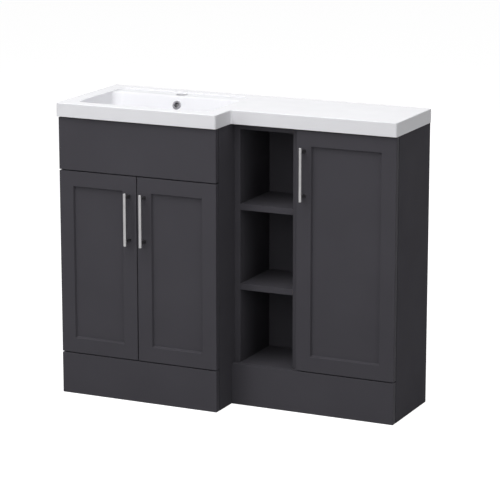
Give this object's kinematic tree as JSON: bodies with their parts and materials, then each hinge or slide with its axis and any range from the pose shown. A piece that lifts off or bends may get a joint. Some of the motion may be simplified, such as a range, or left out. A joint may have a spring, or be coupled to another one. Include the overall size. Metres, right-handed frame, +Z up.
{
  "type": "combination vanity unit",
  "caption": "Floor-standing L-shaped bathroom vanity: basin unit, open shelves and cupboard with framed hinged doors under one white basin and worktop casting.",
  "frame": {"origin": "on the floor, under the middle of the unit's bounding box", "axes": "+X to the right seen from the front, +Y towards the wall, +Z up"},
  "size_m": [1.006, 0.387, 0.86],
  "materials": {
    "anthracite_front": "matte painted",
    "anthracite_board": "matte faced board",
    "back_board": "matte faced board",
    "white_casting": "white gloss gel coat",
    "handle_nickel": "satin",
    "hinge_steel": "nickel plated",
    "zinc_fixing": "zinc plated",
    "chrome_trim": "polished",
    "clear_rubber": "translucent soft",
    "plain_timber": "sawn"
  },
  "bodies": {
    "carcass": {"basin_base": "anthracite_board", "basin_false_front": "anthracite_front", "basin_front_rail": "anthracite_board", "basin_left_side": "anthracite_board", "basin_plinth": "anthracite_front", "basin_rear_bottom_rail": "anthracite_board", "basin_rear_top_rail": "anthracite_board", "basin_right_side": "anthracite_board", "basin_worktop": "white_casting", "block_screws": "zinc_fixing", "connector_bolts": "zinc_fixing", "cupboard_back": "back_board", "cupboard_base": "anthracite_board", "cupboard_door_hinge_arms": "hinge_steel", "cupboard_door_hinge_plates": "hinge_steel", "cupboard_left_side": "anthracite_board", "cupboard_right_side": "anthracite_board", "cupboard_shelf": "anthracite_board", "cupboard_top": "anthracite_board", "door_buffers": "clear_rubber", "dowels": "plain_timber", "false_front_blocks": "plain_timber", "hinge_plate_screws": "zinc_fixing", "left_door_hinge_arms": "hinge_steel", "left_door_hinge_plates": "hinge_steel", "niche_lower_shelf": "anthracite_board", "niche_upper_shelf": "anthracite_board", "overflow_ring": "chrome_trim", "plinth_blocks": "plain_timber", "right_door_hinge_arms": "hinge_steel", "right_door_hinge_plates": "hinge_steel", "right_plinth": "anthracite_front", "shelf_back": "back_board", "shelf_base": "anthracite_board", "shelf_left_side": "anthracite_board", "shelf_pins": "zinc_fixing", "shelf_right_side": "anthracite_board", "shelf_top": "anthracite_board"},
    "left_door": {"left_door": "anthracite_front", "left_door_handle_bar": "handle_nickel", "left_door_handle_posts": "handle_nickel", "left_door_handle_screws": "zinc_fixing", "left_door_hinge_cups": "hinge_steel", "left_door_hinge_pins": "hinge_steel", "left_door_cup_screws": "zinc_fixing"},
    "right_door": {"right_door": "anthracite_front", "right_door_handle_bar": "handle_nickel", "right_door_handle_posts": "handle_nickel", "right_door_handle_screws": "zinc_fixing", "right_door_hinge_cups": "hinge_steel", "right_door_hinge_pins": "hinge_steel", "right_door_cup_screws": "zinc_fixing"},
    "cupboard_door": {"cupboard_door": "anthracite_front", "cupboard_door_handle_bar": "handle_nickel", "cupboard_door_handle_posts": "handle_nickel", "cupboard_door_handle_screws": "zinc_fixing", "cupboard_door_hinge_cups": "hinge_steel", "cupboard_door_hinge_pins": "hinge_steel", "cupboard_door_cup_screws": "zinc_fixing"}
  },
  "joints": [
    {"name": "left_door_hinge", "type": "hinge", "parent": "carcass", "child": "left_door", "pos_m": [-0.493, -0.1525, 0], "axis": [0, 0, -1], "range_deg": [0, 95]},
    {"name": "right_door_hinge", "type": "hinge", "parent": "carcass", "child": "right_door", "pos_m": [-0.007, -0.1525, 0], "axis": [0, 0, 1], "range_deg": [0, 95]},
    {"name": "cupboard_door_hinge", "type": "hinge", "parent": "carcass", "child": "cupboard_door", "pos_m": [0.493, -0.0525, 0], "axis": [0, 0, 1], "range_deg": [0, 95]}
  ]
}
